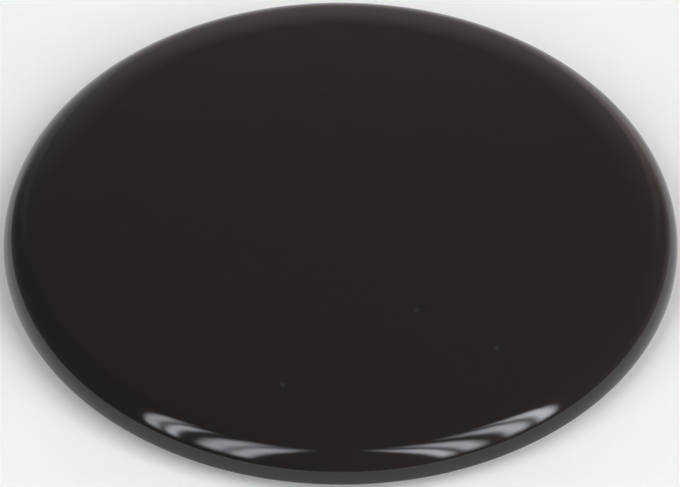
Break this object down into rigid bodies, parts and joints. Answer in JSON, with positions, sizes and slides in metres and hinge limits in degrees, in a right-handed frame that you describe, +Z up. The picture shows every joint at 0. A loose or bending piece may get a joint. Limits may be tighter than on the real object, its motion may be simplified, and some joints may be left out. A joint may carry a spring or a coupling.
{
  "type": "gas burner cap",
  "caption": "Round black enamelled steel cap with a full rounded edge, laid on a hob's gas burner and centred by a ring underneath.",
  "frame": {"origin": "on the cap's axis, in the plane of the locating ring's foot, which is what the cap stands on", "axes": "+Z up through the top face along the axis of revolution; X and Y are free, because the cap is round"},
  "size_m": [0.1, 0.1, 0.0083],
  "materials": {
    "black_enamel": "gloss"
  },
  "bodies": {
    "root": {"burner_cap": "black_enamel"}
  },
  "joints": []
}
